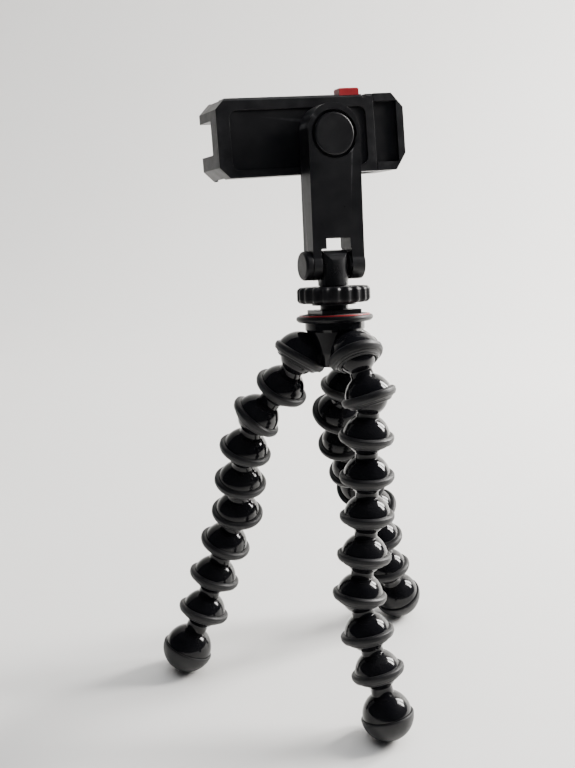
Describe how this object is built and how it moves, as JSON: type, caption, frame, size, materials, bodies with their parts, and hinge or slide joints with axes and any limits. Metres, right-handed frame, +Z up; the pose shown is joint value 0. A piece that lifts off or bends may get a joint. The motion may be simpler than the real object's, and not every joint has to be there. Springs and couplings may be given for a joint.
{
  "type": "phone tripod",
  "caption": "Phone clamp on a slim hinged arm, screwed to a small tripod whose flexible legs are chains of ball links with rubber rings and round rubber feet",
  "frame": {"origin": "on the floor under the middle of the bounding box", "axes": "+Z up; +X to the right along the clamp; +Y away from the viewer, towards the phone side of the clamp; the hub leans 16 degrees towards +Y"},
  "size_m": [0.1284, 0.1298, 0.2729],
  "materials": {
    "gloss_black": "glossy moulded plastic",
    "matte_black": "fine matte moulded plastic",
    "arm_black": "fine matte with polished edges",
    "grip_rubber": "satin rubber",
    "pad_rubber": "matte rubber",
    "red_plastic": "satin red plastic",
    "black_metal": "black anodised metal",
    "steel": "plain steel"
  },
  "bodies": {
    "hub": {"hub_body": "gloss_black", "hub_grips": "grip_rubber", "mount_disc": "matte_black", "red_ring": "red_plastic", "disc_pad": "pad_rubber", "tripod_screw": "steel"},
    "shoe": {"shoe_foot": "black_metal", "knuckle": "black_metal"},
    "washer": {"lock_washer": "black_metal"},
    "wheel": {"lock_wheel": "matte_black"},
    "arm": {"arm": "arm_black", "hinge_bolt": "steel", "hinge_cap": "matte_black", "hinge_nut": "steel", "hinge_washers": "matte_black", "pivot_cap": "matte_black", "pivot_washer": "matte_black"},
    "clamp": {"clamp_body": "matte_black", "clamp_cover": "matte_black", "cover_screws": "steel", "fixed_jaw_pads": "pad_rubber", "backrest_pad": "pad_rubber", "pivot_screw": "steel", "pivot_nut": "steel", "jaw_springs": "steel", "button_spring": "steel"},
    "jaw": {"sliding_jaw": "matte_black", "sliding_jaw_pads": "pad_rubber"},
    "button": {"release_button": "red_plastic"},
    "right_1": {"right_link_1": "gloss_black"},
    "right_2": {"right_link_2": "gloss_black"},
    "right_3": {"right_link_3": "gloss_black"},
    "right_4": {"right_link_4": "gloss_black"},
    "right_5": {"right_link_5": "gloss_black"},
    "right_6": {"right_link_6": "gloss_black"},
    "right_7": {"right_link_7": "gloss_black"},
    "right_8": {"right_link_8": "gloss_black"},
    "right_foot": {"right_foot_core": "gloss_black", "right_foot_rubber": "grip_rubber"},
    "left_1": {"left_link_1": "gloss_black"},
    "left_2": {"left_link_2": "gloss_black"},
    "left_3": {"left_link_3": "gloss_black"},
    "left_4": {"left_link_4": "gloss_black"},
    "left_5": {"left_link_5": "gloss_black"},
    "left_6": {"left_link_6": "gloss_black"},
    "left_7": {"left_link_7": "gloss_black"},
    "left_8": {"left_link_8": "gloss_black"},
    "left_foot": {"left_foot_core": "gloss_black", "left_foot_rubber": "grip_rubber"},
    "rear_1": {"rear_link_1": "gloss_black"},
    "rear_2": {"rear_link_2": "gloss_black"},
    "rear_3": {"rear_link_3": "gloss_black"},
    "rear_4": {"rear_link_4": "gloss_black"},
    "rear_5": {"rear_link_5": "gloss_black"},
    "rear_6": {"rear_link_6": "gloss_black"},
    "rear_7": {"rear_link_7": "gloss_black"},
    "rear_8": {"rear_link_8": "gloss_black"},
    "rear_foot": {"rear_foot_core": "gloss_black", "rear_foot_rubber": "grip_rubber"}
  },
  "joints": [
    {"name": "head_turn", "type": "hinge", "parent": "hub", "child": "shoe", "pos_m": [0.01362, -0.0014, 0.18131], "axis": [-0.0593, 0.2756, 0.9594], "range_deg": [0, 360]},
    {"name": "wheel_turn", "type": "hinge", "parent": "washer", "child": "wheel", "pos_m": [0.01328, 0.00017, 0.18678], "axis": [-0.0593, 0.2756, 0.9594], "range_deg": [0, 648]},
    {"name": "washer_slide", "type": "slide", "parent": "shoe", "child": "washer", "axis": [0.0593, -0.2756, -0.9594], "range_m": [0, 0.0018]},
    {"name": "arm_tilt", "type": "hinge", "parent": "shoe", "child": "arm", "pos_m": [0.01231, 0.00466, 0.20242], "axis": [0.9319, 0.3597, -0.0457], "range_deg": [-86, 90]},
    {"name": "clamp_turn", "type": "hinge", "parent": "arm", "child": "clamp", "pos_m": [0.00995, 0.02032, 0.25562], "axis": [-0.3577, 0.8914, -0.2782], "continuous": true},
    {"name": "jaw_slide", "type": "slide", "parent": "clamp", "child": "jaw", "axis": [0.9295, 0.3687, -0.0139], "range_m": [0, 0.025], "deforming": ["jaw_springs"]},
    {"name": "button_press", "type": "slide", "parent": "clamp", "child": "button", "axis": [0.0902, -0.2636, -0.9604], "range_m": [0, 0.0016], "stiffness_N_per_m": 600, "deforming": ["button_spring"]},
    {"name": "right_bend_1", "type": "hinge", "parent": "hub", "child": "right_1", "pos_m": [0.02261, -0.01928, 0.16928], "axis": [0.8921, 0.4507, -0.0318], "range_deg": [-50, 6]},
    {"name": "right_bend_2", "type": "hinge", "parent": "right_1", "child": "right_2", "pos_m": [0.02839, -0.02505, 0.15324], "axis": [0.4328, -0.7871, 0.4395], "range_deg": [-9, 34]},
    {"name": "right_bend_3", "type": "hinge", "parent": "right_2", "child": "right_3", "pos_m": [0.02782, -0.02717, 0.13538], "axis": [-0.8767, -0.4736, 0.084], "range_deg": [-30, 28]},
    {"name": "right_bend_4", "type": "hinge", "parent": "right_3", "child": "right_4", "pos_m": [0.02865, -0.02886, 0.11748], "axis": [-0.4792, 0.8715, -0.1044], "range_deg": [-32, 27]},
    {"name": "right_bend_5", "type": "hinge", "parent": "right_4", "child": "right_5", "pos_m": [0.02924, -0.03193, 0.09975], "axis": [0.8793, 0.4735, -0.0524], "range_deg": [-30, 29]},
    {"name": "right_bend_6", "type": "hinge", "parent": "right_5", "child": "right_6", "pos_m": [0.02847, -0.03559, 0.08214], "axis": [0.4757, -0.8651, 0.1588], "range_deg": [-27, 32]},
    {"name": "right_bend_7", "type": "hinge", "parent": "right_6", "child": "right_7", "pos_m": [0.02688, -0.03932, 0.0646], "axis": [-0.8745, -0.4524, 0.175], "range_deg": [-37, 15]},
    {"name": "right_bend_8", "type": "hinge", "parent": "right_7", "child": "right_8", "pos_m": [0.0308, -0.04367, 0.04759], "axis": [-0.4569, 0.8308, -0.3179], "range_deg": [-27, 32]},
    {"name": "right_foot_bend", "type": "hinge", "parent": "right_8", "child": "right_foot", "pos_m": [0.03581, -0.04819, 0.0309], "axis": [0.8484, 0.5167, 0.1151], "range_deg": [-32, 27]},
    {"name": "left_bend_1", "type": "hinge", "parent": "hub", "child": "left_1", "pos_m": [-0.00135, -0.00635, 0.16409], "axis": [0.069, -0.9685, 0.2391], "range_deg": [-23, 18]},
    {"name": "left_bend_2", "type": "hinge", "parent": "left_1", "child": "left_2", "pos_m": [-0.00912, -0.00383, 0.14805], "axis": [-0.8948, 0.0575, 0.4427], "range_deg": [-35, 20]},
    {"name": "left_bend_3", "type": "hinge", "parent": "left_2", "child": "left_3", "pos_m": [-0.02019, -0.00344, 0.13387], "axis": [0.0531, 0.9985, -0.0142], "range_deg": [-7, 51]},
    {"name": "left_bend_4", "type": "hinge", "parent": "left_3", "child": "left_4", "pos_m": [-0.02511, -0.00155, 0.11665], "axis": [0.958, -0.0616, -0.2802], "range_deg": [-34, 23]},
    {"name": "left_bend_5", "type": "hinge", "parent": "left_4", "child": "left_5", "pos_m": [-0.02737, 0.0018, 0.09911], "axis": [-0.088, -0.9804, -0.1763], "range_deg": [-32, 27]},
    {"name": "left_bend_6", "type": "hinge", "parent": "left_5", "child": "left_6", "pos_m": [-0.02889, 0.00522, 0.08151], "axis": [-0.9931, 0.0639, 0.0983], "range_deg": [-35, 18]},
    {"name": "left_bend_7", "type": "hinge", "parent": "left_6", "child": "left_7", "pos_m": [-0.03466, 0.00624, 0.06449], "axis": [0.0757, 0.9966, 0.0339], "range_deg": [-26, 31]},
    {"name": "left_bend_8", "type": "hinge", "parent": "left_7", "child": "left_8", "pos_m": [-0.03989, 0.00434, 0.04737], "axis": [0.9565, -0.0615, -0.2852], "range_deg": [-26, 33]},
    {"name": "left_foot_bend", "type": "hinge", "parent": "left_8", "child": "left_foot", "pos_m": [-0.04491, 0.00132, 0.03035], "axis": [-0.0127, -0.9839, 0.1782], "range_deg": [-24, 35]},
    {"name": "rear_bend_1", "type": "hinge", "parent": "hub", "child": "rear_1", "pos_m": [0.02261, 0.00736, 0.16163], "axis": [-0.7957, 0.5903, -0.1357], "range_deg": [-48, 3]},
    {"name": "rear_bend_2", "type": "hinge", "parent": "rear_1", "child": "rear_2", "pos_m": [0.0204, 0.00854, 0.1438], "axis": [0.5533, 0.8329, -0.0137], "range_deg": [-42, 10]},
    {"name": "rear_bend_3", "type": "hinge", "parent": "rear_2", "child": "rear_3", "pos_m": [0.01695, 0.01594, 0.12777], "axis": [0.8229, -0.4273, -0.3745], "range_deg": [-28, 13]},
    {"name": "rear_bend_4", "type": "hinge", "parent": "rear_3", "child": "rear_4", "pos_m": [0.02052, 0.02166, 0.11108], "axis": [-0.5131, -0.7723, -0.3745], "range_deg": [-35, 24]},
    {"name": "rear_bend_5", "type": "hinge", "parent": "rear_4", "child": "rear_5", "pos_m": [0.02599, 0.02695, 0.09476], "axis": [-0.8087, 0.5824, -0.0826], "range_deg": [-14, 41]},
    {"name": "rear_bend_6", "type": "hinge", "parent": "rear_5", "child": "rear_6", "pos_m": [0.0305, 0.03707, 0.08058], "axis": [0.4384, 0.6599, 0.6103], "range_deg": [-14, 43]},
    {"name": "rear_bend_7", "type": "hinge", "parent": "rear_6", "child": "rear_7", "pos_m": [0.0376, 0.04303, 0.06515], "axis": [0.7839, -0.608, 0.126], "range_deg": [-11, 48]},
    {"name": "rear_bend_8", "type": "hinge", "parent": "rear_7", "child": "rear_8", "pos_m": [0.04111, 0.04505, 0.04761], "axis": [-0.5419, -0.8157, -0.2025], "range_deg": [-35, 23]},
    {"name": "rear_foot_bend", "type": "hinge", "parent": "rear_8", "child": "rear_foot", "pos_m": [0.04575, 0.04546, 0.03023], "axis": [-0.7973, 0.5697, -0.1995], "range_deg": [-16, 43]}
  ],
  "couplings": [
    {"joint": "washer_slide", "follows": "wheel_turn", "m_per_rad": 0.00015915}
  ]
}
